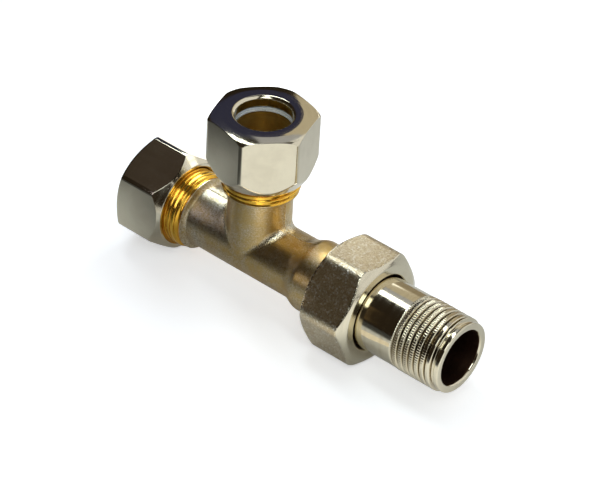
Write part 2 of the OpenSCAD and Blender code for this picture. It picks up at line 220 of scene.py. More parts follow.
def carry_round(axis, angles, profile, closed=True):
    """Carries a profile round an axis: (along, radius) at angle a is along, radius cos a, radius sin a."""
    along, radius, finish, edge = profile
    across, up = radius * np.cos(angles), radius * np.sin(angles)
    order = (along, across, up) if axis == "x" else (across, up, along)
    return {"points": np.stack(order, axis=-1), "finish": finish, "edge": edge,
            "wrap_rows": closed, "wrap_columns": True}


print("rows of one soft corner", len(soften([(0, 1, 0, 0), (1, 1, 0.2, 0), (1, 0, 0, 0)])[2]))

# %% [markdown]
# ## Screw threads
# A thread is a ridge that climbs one pitch on each turn. Seen as a function on the unrolled cylinder,
# the height depends only on the distance along the axis less the pitch times the share of a turn, so
# one wave serves the male thread and, pushed outwards a little, the female thread that runs on it.
# The wave is cut off, which leaves a flat land on the crest. Nut and neck share the wave and the pitch
# of their joint, so they stay in mesh as the nut turns.

# %% Thread wave
NECK_CUT = 0.4


def thread_wave(phase, cut):
    """Ridge height from 0 to 1 over one pitch: the sine of a triangle wave that is cut off at a share,
    so the crest is a flat land with soft shoulders and the root is a sharp groove."""
    triangle = np.abs(2 * np.mod(phase, 1.0) - 1)
    return np.sin(np.pi / 2 * np.clip(triangle / cut, 0, 1))


def thread_rows(start, end, screw, angles, per_pitch, finish, fade_in=0.0, fade_out=0.0, cut=NECK_CUT):
    """Rows of a helical thread: radius = root + (crest - root) * wave((along - pitch * turns) / pitch),
    sinking to the root over the fade lengths at its two ends. A screw is its root, crest and pitch."""
    root, crest, pitch = screw
    count = int(abs(end - start) / pitch * per_pitch) + 2
    along = np.linspace(start, end, count)[:, None]
    wave = thread_wave(along / pitch - angles[None, :] / (2 * np.pi), cut)
    rise = np.ones_like(along)
    if fade_in:
        rise = rise * np.clip((along - start) / fade_in, 0, 1)
    if fade_out:
        rise = rise * np.clip((end - along) / fade_out, 0, 1)
    radius = root + (crest - root) * wave * rise
    # The last item is the edge mark: -1 at the bottom of the groove, where the finish paints shade.
    return np.broadcast_to(along, radius.shape), radius, [finish] * count, (wave - 1) * rise


print("ridge over half a pitch", np.round(thread_wave(np.linspace(0, 0.5, 6), NECK_CUT), 2).tolist())

# %% [markdown]
# ## Finishes
# Everything is brass under a skin of nickel, and the skin shows how each face was made: blasted on the
# forging, drawn on the hex flats, turned on the faces, polished on the tail. Bare brass shows where
# the threads were cut after plating. Each effect that several finishes share is a node group that
# puts out a height or a mask; the shader itself stays in the material.


# %% Small helpers for nodes
def place(tree, kind, inputs=None, **settings):
    """Adds a node, sets its plain settings, then gives each input a value or a link."""
    made = tree.nodes.new(kind)
    for key, value in settings.items():
        setattr(made, key, value)
    for key, value in (inputs or {}).items():
        if isinstance(value, bpy.types.NodeSocket):
            tree.links.new(value, made.inputs[key])
        else:
            made.inputs[key].default_value = value
    return made


def maths(tree, operation, a, b=0.0, clamp=False):
    """One Math node; either input may be a number or a socket."""
    return place(tree, "ShaderNodeMath", {0: a, 1: b}, operation=operation, use_clamp=clamp).outputs[0]


def times(tree, a, b, clamp=False):
    """The product of two numbers."""
    return maths(tree, "MULTIPLY", a, b, clamp)


def ramp(tree, value, low, high):
    """A number rescaled so that low becomes 0 and high becomes 1, with a smooth step between."""
    inputs = {"Value": value, "From Min": low, "From Max": high}
    return place(tree, "ShaderNodeMapRange", inputs, interpolation_type="SMOOTHSTEP").outputs["Result"]


def between(tree, share, a, b):
    """A colour between a and b by a share from 0 to 1."""
    return place(tree, "ShaderNodeMix", {0: share, 6: a, 7: b}, data_type="RGBA").outputs[2]


def number_between(tree, share, a, b):
    """A number between a and b by a share from 0 to 1."""
    return place(tree, "ShaderNodeMix", {0: share, 2: a, 3: b}, data_type="FLOAT").outputs[0]


def mapped(tree, vector, **settings):
    """A vector after a Mapping node with its own Location, Rotation or Scale."""
    return place(tree, "ShaderNodeMapping", {"Vector": vector, **settings}).outputs[0]


def noise(tree, vector, scale, detail, **more):
    """Cloudy noise from 0 to 1."""
    inputs = {"Vector": vector, "Scale": scale, "Detail": detail, **more}
    return place(tree, "ShaderNodeTexNoise", inputs).outputs[0]


def noise_along(tree, way, scale, detail):
    """Noise that changes along one number only."""
    inputs = {"W": way, "Scale": scale, "Detail": detail}
    return place(tree, "ShaderNodeTexNoise", inputs, noise_dimensions="1D").outputs[0]


def new_group(name, setting, value, outputs):
    """An empty shader node group: a vector and one setting go in, the named numbers come out."""
    group = bpy.data.node_groups.new(name, "ShaderNodeTree")
    group.interface.new_socket("Vector", in_out="INPUT", socket_type="NodeSocketVector")
    made = group.interface.new_socket(setting, in_out="INPUT", socket_type="NodeSocketFloat")
    made.default_value = value
    for socket in outputs:
        group.interface.new_socket(socket, in_out="OUTPUT", socket_type="NodeSocketFloat")
    enter = group.nodes.new("NodeGroupInput").outputs
    leave = group.nodes.new("NodeGroupOutput").inputs
    return group, enter["Vector"], enter[setting], leave


print("nodes of Blender", bpy.app.version_string)


# %% Shared effects
def make_blast_group():
    """Blasted skin: small round dents of two sizes. Height is their depth, Glint marks single bright
    grains."""
    group, vector, grain, leave = new_group("blasted skin", "Grain", 2600.0, ("Height", "Glint"))
    coarse = noise(group, vector, grain, 3.0, Roughness=0.65)
    finer = times(group, grain, 1.7)
    dents = place(group, "ShaderNodeTexVoronoi", {"Vector": vector, "Scale": finer}).outputs
    height = maths(group, "ADD", coarse, times(group, dents["Distance"], 0.55))
    group.links.new(height, leave["Height"])
    group.links.new(ramp(group, dents["Color"], 0.6, 0.9), leave["Glint"])
    return group


def make_mottle_group():
    """Cloudy stain: large soft patches with smaller ones inside, from 0 to 1."""
    group, vector, size, leave = new_group("cloudy stain", "Size", 160.0, ("Mask",))
    cloud = noise(group, vector, size, 5.0, Roughness=0.62, Distortion=0.4)
    group.links.new(ramp(group, cloud, 0.32, 0.7), leave["Mask"])
    return group


def make_turning_group():
    """Tool marks of a lathe: lines that depend on the place along the axis plus the radius, where the
    axis is the Z axis of the vector. Height is the line depth, Tone a slow change of shine."""
    group, vector, lines, leave = new_group("turning marks", "Lines", 6000.0, ("Height", "Tone"))
    x, y, z = place(group, "ShaderNodeSeparateXYZ", {0: vector}).outputs
    square = maths(group, "ADD", times(group, x, x), times(group, y, y))
    along = maths(group, "ADD", z, maths(group, "SQRT", square))
    slow = noise_along(group, along, 700.0, 3.0)
    group.links.new(noise_along(group, along, lines, 2.0), leave["Height"])
    group.links.new(ramp(group, slow, 0.35, 0.68), leave["Tone"])
    return group


def make_scuff_group():
    """Handling: fine short scratches in patches, and rubbed corners and seams from the edge mark,
    which at the crotch is partly a painted highlight; each from 0 to 1.
    """
    group, vector, edge, leave = new_group("handling", "Edge", 0.0, ("Scratch", "Rub_and_sheen"))
    drawn_out = mapped(group, vector, Rotation=(0.4, 0.3, 0.7), Scale=(3000.0, 160.0, 1600.0))
    lines = ramp(group, noise(group, drawn_out, 1.0, 2.0), 0.62, 0.74)
    patch = noise(group, vector, 420.0, 3.0)
    corner = maths(group, "MAXIMUM", edge, 0.0)
    group.links.new(times(group, lines, ramp(group, patch, 0.45, 0.65)), leave["Scratch"])
    group.links.new(times(group, corner, ramp(group, patch, 0.3, 0.6)), leave["Rub_and_sheen"])
    return group


BLAST = make_blast_group()
MOTTLE = make_mottle_group()
TURNING = make_turning_group()
SCUFF = make_scuff_group()
print("effects", [group.name for group in bpy.data.node_groups])


# %% Finish builder
def blank_material(name):
    """A material with an empty node tree, and the socket that takes its surface."""
    made = bpy.data.materials.new(name)
    made.use_nodes = True
    made.node_tree.nodes.clear()
    output = place(made.node_tree, "ShaderNodeOutputMaterial")
    return made, made.node_tree, output.inputs["Surface"]


def new_finish(name, metallic=1.0):
    """A material with a Principled shader, Object coordinates and the edge mark of the piece."""
    made, tree, surface = blank_material(name)
    shader = place(tree, "ShaderNodeBsdfPrincipled", {"Metallic": metallic})
    tree.links.new(shader.outputs[0], surface)
    coords = place(tree, "ShaderNodeTexCoord").outputs["Object"]
    edge = place(tree, "ShaderNodeAttribute", attribute_name="edge").outputs["Fac"]
    return made, tree, shader, coords, edge


def use_group(tree, group, inputs):
    """Places a shared effect with its own values; what it puts out is taken by name."""
    return place(tree, "ShaderNodeGroup", inputs, node_tree=group).outputs


def feed(tree, shader, colour, roughness, height, depth):
    """Links colour and roughness, and a height through a Bump node whose depth is in metres."""
    tree.links.new(colour, shader.inputs["Base Color"])
    tree.links.new(roughness, shader.inputs["Roughness"])
    bump = place(tree, "ShaderNodeBump", {"Height": height, "Distance": depth, "Strength": 1.0})
    tree.links.new(bump.outputs[0], shader.inputs["Normal"])


def on_axis(tree, coords, axis):
    """Object coordinates moved to the crossing and turned so that the piece's own axis is Z."""
    moved = mapped(tree, coords, Location=(0.0, 0.0, -crossing_z * MM))
    if axis == "z":
        return moved
    return mapped(tree, moved, Rotation=(0.0, math.radians(90), 0.0))


# %% [markdown]
# ## Blasted, turned and drawn metal
# Three ways of working leave three skins. Blasting leaves round dents, so the forging gets a grain in
# height and in colour. A lathe leaves rings round the axis, and hex bar comes with faint lines along
# it. All three could be painted on an unwrapped skin. A pattern on Object coordinates needs no
# unwrapping, runs on over a corner, and stays sharp close up.

# %% Blasted, turned and drawn metal
NICKEL = (0.74, 0.67, 0.50, 1.0)
NICKEL_DULL = (0.68, 0.61, 0.45, 1.0)
BRASS_STAIN = (0.62, 0.42, 0.14, 1.0)
GLINT = (0.95, 0.92, 0.84, 1.0)
THIN_PLATE = (-0.018, 0.004)
GROOVE_RANGE = (-0.12, -0.8)
HEX_ROUGH = 0.09
DRAW_DEPTH = 0.0000025


def blasted_nickel(name, dull, stain_share, rough, grain, depth, glint_share):
    """Nickel on a blasted surface: grain in height and colour, brass-brown clouds, rubbed corners,
    and in the crotch partly a painted highlight.
    The plating thins from the left arm to the middle of the run, so the brown gains that way."""
    made, tree, shader, coords, edge = new_finish(name)
    blast = use_group(tree, BLAST, {"Vector": coords, "Grain": grain})
    cloud = use_group(tree, MOTTLE, {"Vector": coords, "Size": 150.0})
    scuff = use_group(tree, SCUFF, {"Vector": coords, "Edge": edge})
    grained = between(tree, ramp(tree, blast["Height"], 0.55, 1.0), dull, NICKEL)
    tone = between(tree, times(tree, blast["Glint"], glint_share), grained, GLINT)
    along_run = place(tree, "ShaderNodeSeparateXYZ", {0: coords}).outputs[0]
    thin = times(tree, ramp(tree, along_run, *THIN_PLATE), 0.45)
    patchy = maths(tree, "ADD", times(tree, cloud["Mask"], 0.75), thin)
    stained = between(tree, times(tree, patchy, stain_share, clamp=True), tone, BRASS_STAIN)
    colour = between(tree, scuff["Rub_and_sheen"], stained, NICKEL)
    worn = number_between(tree, scuff["Rub_and_sheen"], rough, rough * 0.6)
    shine = number_between(tree, blast["Glint"], worn, rough * 1.25)
    feed(tree, shader, colour, shine, blast["Height"], depth)
    return made


def turned_metal(name, axis, tones, rough, cut, groove=None, metallic=1.0):
    """Metal from the lathe: fine rings round the axis, slow bands of shine, a few scratches. A cut is
    the scale of the rings and their depth. On a thread the bottom of the groove is painted darker,
    as shade, in a colour of its own."""
    made, tree, shader, coords, edge = new_finish(name, metallic)
    lines, depth = cut
    rings = use_group(tree, TURNING, {"Vector": on_axis(tree, coords, axis), "Lines": lines})
    scuff = use_group(tree, SCUFF, {"Vector": coords, "Edge": edge})
    cloud = use_group(tree, MOTTLE, {"Vector": coords, "Size": 240.0})
    colour = between(tree, times(tree, cloud["Mask"], rings["Tone"]), *tones)
    # Painted shade: the groove colour darkens the bottom of a thread groove by the edge mark.
    if groove:
        colour = between(tree, ramp(tree, edge, *GROOVE_RANGE), colour, groove)
    banded = number_between(tree, rings["Tone"], rough, rough * 1.5)
    shine = number_between(tree, scuff["Scratch"], banded, rough * 2.2)
    feed(tree, shader, colour, shine, rings["Height"], depth)
    return made


def drawn_nickel(name, axis):
    """Nickel on flats of drawn hex bar: faint lines along the axis, clouds and scratches."""
    made, tree, shader, coords, edge = new_finish(name)
    streak = mapped(tree, on_axis(tree, coords, axis), Scale=(2600.0, 2600.0, 60.0))
    lines = noise(tree, streak, 1.0, 3.0)
    scuff = use_group(tree, SCUFF, {"Vector": coords, "Edge": edge})
    cloud = use_group(tree, MOTTLE, {"Vector": coords, "Size": 190.0})
    colour = between(tree, cloud["Mask"], NICKEL, NICKEL_DULL)
    streaked = number_between(tree, ramp(tree, lines, 0.35, 0.7), HEX_ROUGH, HEX_ROUGH * 1.35)
    shine = number_between(tree, scuff["Scratch"], streaked, HEX_ROUGH * 2.0)
    feed(tree, shader, colour, shine, lines, DRAW_DEPTH)
    return made


print("plating thins from", THIN_PLATE[0] / MM, "to", THIN_PLATE[1] / MM, "mm along the run")

# %% Finishes of the forging and the nuts
FORGED_DULL = (0.36, 0.27, 0.13, 1.0)
UNION_DULL = (0.55, 0.45, 0.29, 1.0)
# The two groove colours below are painted shade at the bottom of thread grooves.
GOLD_GROOVE_SHADE = (0.60, 0.24, 0.01, 1.0)
GROOVE_SHADE = (0.22, 0.17, 0.10, 1.0)
NICKEL_TONES = (NICKEL, NICKEL_DULL)
TAIL_TONES = (NICKEL, (0.66, 0.58, 0.41, 1.0))
RIDGE_TONES = (NICKEL, (0.60, 0.52, 0.36, 1.0))
# Near-black tones for the bores: painted shade inside the recess.
BORE_SHADE_TONES = ((0.17, 0.09, 0.055, 1.0), (0.10, 0.05, 0.03, 1.0))
GOLD_TONES = ((0.97, 0.57, 0.07, 1.0), (0.80, 0.38, 0.025, 1.0))
BRASS_TONES = ((0.70, 0.52, 0.17, 1.0), (0.60, 0.43, 0.12, 1.0))
YELLOW_TONES = ((0.86, 0.70, 0.32, 1.0), (0.74, 0.57, 0.22, 1.0))
ZINC_TONES = ((0.86, 0.92, 0.97, 1.0), (0.66, 0.71, 0.75, 1.0))
FINE_CUT = (5200.0, 0.000002)
POLISHED_CUT = (3000.0, 0.0000008)
DULL_CUT = (4200.0, 0.000003)
THREAD_CUT = (5600.0, 0.000002)
RING_CUT = (4800.0, 0.000004)

forged_skin = blasted_nickel("forged_skin", FORGED_DULL, stain_share=0.85, rough=0.28, grain=2400.0,
                             depth=0.00006, glint_share=0.6)
union_skin = blasted_nickel("union_skin", UNION_DULL, stain_share=0.2, rough=0.3, grain=1500.0,
                            depth=0.00009, glint_share=0.9)
nut_flats = drawn_nickel("nut_flats", "z")
cap_flats = drawn_nickel("cap_flats", "x")
nut_turned = turned_metal("nut_turned", "z", NICKEL_TONES, 0.09, FINE_CUT)
run_turned = turned_metal("run_turned", "x", NICKEL_TONES, 0.13, FINE_CUT)
tail_polish = turned_metal("tail_polish", "x", TAIL_TONES, 0.1, POLISHED_CUT)
tail_ridge = turned_metal("tail_ridge", "x", RIDGE_TONES, 0.1, POLISHED_CUT, GROOVE_SHADE)
# Painted shade: the tail's bore and the insides of the union and the cap get near-black tones.
bore_painted_shade = turned_metal("bore_painted_shade", "x", BORE_SHADE_TONES, 0.32, DULL_CUT)
brass_run = turned_metal("brass_run", "x", GOLD_TONES, 0.15, THREAD_CUT, GOLD_GROOVE_SHADE, metallic=0.9)
brass_branch = turned_metal("brass_branch", "z", GOLD_TONES, 0.15, THREAD_CUT, GOLD_GROOVE_SHADE, metallic=0.9)
bore_brass = turned_metal("bore_brass", "z", BRASS_TONES, 0.2, THREAD_CUT)
ring_bore = turned_metal("ring_bore", "z", YELLOW_TONES, 0.28, RING_CUT)
zinc_ring = turned_metal("zinc_ring", "z", ZINC_TONES, 0.24, RING_CUT, metallic=0.55)
print("finishes", len(bpy.data.materials))

# %% [markdown]
# ## The forged tee
# The body is hammered in two half dies, so it is a run and a branch of nearly the same thickness whose
# skins melt into each other, with a thin seam of flash in the plane of the dies. Two cylinders of equal
# radius meet where both have the same angle psi from the top, so the tee is cut in slices of equal psi:
# each slice runs down the branch, through the crotch on the arc of a rolling ball, and out along the
# run. The lower half of the run is a plain half tube. Their seams fall on the same points and weld.

# %% Slices of the tee
TEE_R = 8.7
CROTCH_R = 2.7
ARC_STEPS = 11
BLEND_END = 14.0
CROSS_ROWS = 14
SLICES = 91
EVEN_SHARE = 0.38
FLASH_H = 0.18
FLASH_W = 0.2
QUARTER = math.radians(90)

side = np.linspace(-1, 1, SLICES)
psi = QUARTER * (EVEN_SHARE * side + (1 - EVEN_SHARE) * side ** 3)
flash = FLASH_H * np.exp(-(TEE_R * psi / FLASH_W) ** 2)
cross_share = np.linspace(0, 1, CROSS_ROWS + 1)[:, None]


def unit(vectors):
    """Vectors brought to length 1."""
    return vectors / np.linalg.norm(vectors, axis=-1, keepdims=True)


def flare(at, start, end, r0, r1):
    """A radius that goes from r0 to r1 between two places on half a cosine wave."""
    t = np.clip((np.asarray(at, float) - start) / (end - start), 0, 1)
    return r0 + (r1 - r0) * (1 - np.cos(np.pi * t)) / 2


def on_run(x, r, angle):
    """Point of the run: x along it, r out at an angle from the top."""
    x, r, angle = np.broadcast_arrays(x, r, angle)
    return np.stack([x, r * np.sin(angle), r * np.cos(angle)], axis=-1)


def on_branch(z, r, angle, hand):
    """Point of the branch: z up it, r out at an angle from the run's own direction, hand +1 or -1."""
    z, r, angle = np.broadcast_arrays(z, r, angle)
    return np.stack([hand * r * np.cos(angle), r * np.sin(angle), z], axis=-1)


def rolling_arc(hand):
    """Arc of a ball that rolls along the crotch: its centre lies TEE_R + CROTCH_R from both axes, and
    the skin is the centre less CROTCH_R times the normal, turned evenly from the branch's to the run's."""
    reach = TEE_R + CROTCH_R
    cosine, sine, zero = np.cos(psi), np.sin(psi), np.zeros_like(psi)
    centre = np.stack([reach * cosine, reach * sine, reach * cosine], axis=-1)
    branch_n = np.stack([cosine, sine, zero], axis=-1)
    run_n = np.stack([zero, sine, cosine], axis=-1)
    t = np.linspace(0, 1, ARC_STEPS)[:, None, None]
    arc = centre - (CROTCH_R - flash[:, None]) * unit((1 - t) * branch_n + t * run_n)
    return arc * [hand, 1.0, 1.0]


print("slices", SLICES, "closest", round(float(np.degrees(np.diff(psi).min())), 3), "degrees apart")

# %% [markdown]
# ## Necks and rims
# After forging, the three ends go on a lathe. The left arm and the branch get the same neck: a small
# shoulder, a thread and a broken rim. The right arm has a collar, a cone and the wider union thread.
# Each end is a profile from the blend of the tee out to the rim, then back in along the bore.

# %% Necks of the left arm and the branch
SKIN, THREAD, BRANCH_THREAD, BORE = 0, 1, 2, 3
NECK_THREAD_L = 12.0
NECK_CREST_R = 10.697
NECK_ROOT_R = 9.997
NECK_SCREW = (NECK_ROOT_R, NECK_CREST_R, 1.5)
SHOULDER_R = 10.25
FLARE_L = 1.2
RIM_L = 0.8
RIM_BREAK = 0.3
RIM_BREAK_IN = 0.15
THREAD_FADE = 0.5
neck_end = -span("valve_body", 0)[0]
neck_start = neck_end - NECK_THREAD_L


def neck_outside(angles, finish):
    """Branch or left arm from the blend out to the rim: flare, small shoulder, thread."""
    skin_end = neck_start - 0.5
    out = np.linspace(BLEND_END, skin_end, 16)
    skin = plain_rows(out, flare(out, neck_start - FLARE_L, neck_start - 0.4, TEE_R, SHOULDER_R), SKIN)
    shoulder = soften([
        (skin_end, SHOULDER_R, 0, SKIN),
        (neck_start - 0.1, SHOULDER_R, 0.12, finish),
        (neck_start + 0.35, NECK_ROOT_R, 0.12, finish),
        (neck_start + 0.6, NECK_ROOT_R, 0, finish)])
    ridge = thread_rows(neck_start + 0.65, neck_end - RIM_L, NECK_SCREW, angles, 11, finish,
                        fade_in=THREAD_FADE, fade_out=THREAD_FADE)
    return stack_rows(SLICES, skin, shoulder, ridge)


def rim(end, outer_r, inner_r, finish):
    """The end of an arm: broken outer edge, flat face, broken inner edge."""
    return soften([
        (end - RIM_L, outer_r, 0, finish),
        (end - RIM_BREAK, outer_r, 0.1, finish),
        (end, outer_r - RIM_BREAK, 0.1, finish),
        (end, inner_r + RIM_BREAK_IN, 0.1, finish),
        (end - RIM_BREAK_IN, inner_r, 0.1, finish),
        (end - RIM_L, inner_r, 0, finish)])


print("neck thread from", round(neck_start, 2), "to", round(neck_end, 2))

# %% Collar and union end of the right arm
COLLAR_R = 10.2
COLLAR_FLARE = (15.5, 20.5)
COLLAR_END = 27.1
UNION_CREST_R = 13.2175
UNION_ROOT_R = 12.2
UNION_PITCH = 1.814
UNION_SCREW = (UNION_ROOT_R, UNION_CREST_R, UNION_PITCH)
UNION_THREAD_L = 5.6
union_face = span("valve_body", 0)[1]
union_back = union_face - UNION_THREAD_L


def union_outside(angles):
    """Right arm from the blend out to the rim: flare, collar, cone and union thread."""
    out = np.linspace(BLEND_END, COLLAR_FLARE[1] + 0.5, 18)
    skin = plain_rows(out, flare(out, *COLLAR_FLARE, TEE_R, COLLAR_R), SKIN)
    collar = soften([
        (COLLAR_FLARE[1] + 1.0, COLLAR_R, 0, SKIN),
        (COLLAR_END, COLLAR_R, 0.3, BORE),
        (union_back, UNION_ROOT_R, 0.2, BORE),
        (union_back + 0.3, UNION_ROOT_R, 0, BORE)])
    ridge = thread_rows(union_back + 0.4, union_face - RIM_L, UNION_SCREW, angles, 9, THREAD,
                        fade_in=THREAD_FADE, fade_out=THREAD_FADE)
    return stack_rows(SLICES, skin, collar, ridge)


print("union thread from", round(union_back, 2), "to", round(union_face, 2))

# %% Bores
TEE_BORE_R = 6.55
PIPE_STOP_R = 7.6
RING_CONE_L = 6.1
RING_MOUTH_R = 8.897
MOUTH_FALL = 0.17
TAIL_BORE_R = 7.8
BORE_CONE_L = 3.0
BONNET_BORE_R = 8.047
BONNET_BORE_L = 10.8
SEAT_X = 7.02
SEAT_L = 3.0
SEAT_R = 4.5
bore_side = SEAT_X - 0.2
bore_top = TEE_BORE_R + 1.5

branch_inside = soften([
    (neck_end - RIM_L, RING_MOUTH_R - MOUTH_FALL, 0, BORE),
    (neck_end - RING_CONE_L, PIPE_STOP_R, 0.2, BORE),
    (-crossing_z, PIPE_STOP_R, 0.15, BORE),
    (-crossing_z, TEE_BORE_R, 0.15, BORE),
    (bore_top, TEE_BORE_R, 0, BORE)])
right_inside = soften([
    (union_face - RIM_L, TAIL_BORE_R, 0, BORE),
    (union_back, TAIL_BORE_R, 0.3, BORE),
    (union_back - BORE_CONE_L, TEE_BORE_R, 0.3, BORE),
    (SEAT_X + SEAT_L, TEE_BORE_R, 0.2, BORE),
    (SEAT_X + SEAT_L, SEAT_R, 0.2, BORE),
    (SEAT_X, SEAT_R, 0.3, BORE),
    (SEAT_X, TEE_BORE_R, 0.1, BORE),
    (bore_side, TEE_BORE_R, 0, BORE)])
left_inside = soften([
    (neck_end - RIM_L, BONNET_BORE_R, 0, BORE),
    (neck_end - BONNET_BORE_L, BONNET_BORE_R, 0.2, BORE),
    (neck_end - BONNET_BORE_L, TEE_BORE_R, 0.2, BORE),
    (bore_side, TEE_BORE_R, 0, BORE)])


def right_arm(angles):
    """Right arm from its blend, out over the rim and back in to the crossing."""
    end = rim(union_face, UNION_ROOT_R, TAIL_BORE_R, THREAD)
    return stack_rows(SLICES, union_outside(angles), end, right_inside)


def left_arm(angles):
    """Left arm, measured outwards; its thread phase runs with the same hand as on the right."""
    end = rim(neck_end, NECK_ROOT_R, BONNET_BORE_R, THREAD)
    return stack_rows(SLICES, neck_outside(-angles, THREAD), end, left_inside)


def branch_arm(angles):
    """Branch from its blend, out over the rim and back in to the crossing."""
    end = rim(neck_end, NECK_ROOT_R, RING_MOUTH_R, BRANCH_THREAD)
    return stack_rows(SLICES, neck_outside(angles, BRANCH_THREAD), end, branch_inside)


print("seat from", SEAT_X, "to", SEAT_X + SEAT_L)

# %% [markdown]
# ## Joining the tee
# The two hands of slices and the half tube below are bands that run out on the skin, over a rim and
# back through a bore, so each closes on itself and the wall needs no separate inside. The flash seam
# stands proud and is rubbed bright, so it gets the `edge` mark too. The crotch gets the mark as well,
# partly as rubbing and partly as a painted highlight along the crease, fading away from the seam.

# %% Slices into one body
# Width and fade of the crotch mark, which is partly rubbing and partly a painted highlight.
CROTCH_RUB_AND_SHEEN = 0.45
RUB_AND_SHEEN_FROM = 0.3
RUB_AND_SHEEN_FADE = 0.35
SEAM_STOP = 0.6
SEAM_FADE = 1.5


def seam_lift(arm):
    """Flash stands on the forged skin only, and fades out before the machined end of the arm."""
    along, _, finish, _ = arm
    room = np.clip((neck_start - SEAM_STOP - np.abs(along)) / SEAM_FADE, 0, 1)
    return flash[None, :] * room * (np.asarray(finish) == SKIN)[:, None]


def band(parts):
    """Joins blocks of (points, finish, edge) into one patch whose rows run round the wall of the tee."""
    points = np.concatenate([p for p, _, _ in parts])
    finish = np.concatenate([np.broadcast_to(f, len(p)) for p, f, _ in parts])
    edge = np.concatenate([np.broadcast_to(e, p.shape[:2]) for p, _, e in parts])
    return {"points": points, "finish": finish, "edge": edge, "wrap_rows": True, "wrap_columns": False}


def slice_patch(hand, run, branch):
    """Upper slices on one hand of the tee: down the branch, through the crotch, out along the run and
    back through both bores, as one closed band of rows for each psi."""
    reach = (TEE_R + CROTCH_R) * np.cos(psi)
    bore_reach = TEE_BORE_R * np.cos(psi)
    out = reach + (BLEND_END - reach) * cross_share
    bore_out = bore_reach + (bore_side - bore_reach) * cross_share
    bore_up = bore_reach + (bore_top - bore_reach) * cross_share
    middle = np.linspace(-1, 1, ARC_STEPS)[1:-1, None]
    # The crotch mark is partly rubbing and partly a painted highlight along the crease, faded away from the
    # seam.
    rub_and_sheen = np.exp(-(middle / CROTCH_RUB_AND_SHEEN) ** 2) * np.clip((np.cos(psi) - RUB_AND_SHEEN_FROM) / RUB_AND_SHEEN_FADE, 0, 1)
    seam = flash / FLASH_H
    branch_points = on_branch(branch[0], branch[1] + seam_lift(branch), psi, hand)
    return band([
        (on_branch(out, TEE_R + flash, psi, hand)[::-1], SKIN, seam),
        (rolling_arc(hand)[1:-1], SKIN, np.maximum(rub_and_sheen, seam)),
        (on_run(hand * out, TEE_R + flash, psi), SKIN, seam),
        (on_run(hand * run[0], run[1] + seam_lift(run), psi)[1:], run[2][1:], run[3][1:]),
        (on_run(hand * bore_out, TEE_BORE_R, psi)[-2::-1], BORE, 0.0),
        (on_branch(bore_up, TEE_BORE_R, psi, hand)[1:], BORE, 0.0),
        (branch_points[-2:0:-1], branch[2][-2:0:-1], branch[3][-2:0:-1])])


def lower_patch():
    """The half tube below: from the left rim to the right one outside, and back through the bore."""
    angle = math.pi + psi
    left, right = left_arm(QUARTER - angle), right_arm(QUARTER - angle)
    left_points = on_run(-left[0], left[1] + seam_lift(left), angle)
    return band([
        (left_points[:0:-1], left[2][:0:-1], left[3][:0:-1]),
        (on_run(-BLEND_END * cross_share, TEE_R + flash, angle)[::-1], SKIN, 0.0),
        (on_run(BLEND_END * cross_share, TEE_R + flash, angle)[1:], SKIN, 0.0),
        (on_run(right[0], right[1] + seam_lift(right), angle)[1:], right[2][1:], right[3][1:]),
        (on_run(bore_side * cross_share, TEE_BORE_R, angle)[-2::-1], BORE, 0.0),
        (on_run(-bore_side * cross_share, TEE_BORE_R, angle)[1:-1], BORE, 0.0)])


right_slices = slice_patch(1, right_arm(QUARTER - psi), branch_arm(psi))
left_slices = slice_patch(-1, left_arm(QUARTER - psi), branch_arm(2 * QUARTER - psi))
add_piece("forged_body", [right_slices, left_slices, lower_patch()],
          [forged_skin, brass_run, brass_branch, bore_brass], "valve", "valve_body")

# %% [markdown]
# ## Hex pieces
# A nut is a length of hex bar with a cone turned on each end, which leaves the curved bows where the
# cone runs out on the flats. The bar's outline is given as a radius at each angle, with rounded corners,
# and the cone meets the flat at end - (radius - face radius) / tan(angle): one line for every angle.

# %% Hex outline
FLAT, TURNED, INSIDE, NUT_THREAD = 0, 1, 2, 3
FLAT_POINTS = 18
CORNER_POINTS = 9
THREAD_ROOM = 0.08


def hex_outline(half_width, turn, rounding):
    """Angle and radius of a hexagon with round corners: arcs of 60 degrees joined by straight flats."""
    corner = np.radians(turn + 60 * np.arange(6))[:, None]
    lean = np.radians(np.linspace(-30, 30, CORNER_POINTS))[None, :]
    centre = (half_width - rounding) / math.cos(math.radians(30))
    arc = centre * np.exp(1j * corner) + rounding * np.exp(1j * (corner + lean))
    step = (0.5 - 0.5 * np.cos(np.pi * np.linspace(0, 1, FLAT_POINTS + 2)))[None, 1:-1]
    flat = arc[:, -1:] + (np.roll(arc, -1, axis=0)[:, :1] - arc[:, -1:]) * step
    outline = np.concatenate([arc, flat], axis=1).ravel()
    return np.unwrap(np.angle(outline)), np.abs(outline)


def cone_line(end, into, radius, face_r, angle):
    """Where a cone on an end meets the flats: away from the end by (radius - face radius) / tan(angle)."""
    return end + into * (radius - face_r) / math.tan(math.radians(angle))


def female_thread(start, end, screw, angles):
    """The nut's side of a thread: the male wave pushed outwards by the running room."""
    root, crest, pitch = screw
    pushed = (root + THREAD_ROOM, crest + THREAD_ROOM, pitch)
    return thread_rows(start, end, pushed, angles, 14, NUT_THREAD)


print("points round a hex", len(hex_outline(1.0, 0.0, 0.1)[0]))

# %% [markdown]
# ## The compression nut
# This nut presses the cutting ring on to the pipe. Its top is softly domed and falls away faster at the
# corners, so the rim shows a soft bow on each flat. The dome is a fall of the height with the way out,
# taken at a few rings between the hole and the outline, which is simpler than cutting it with a solid.

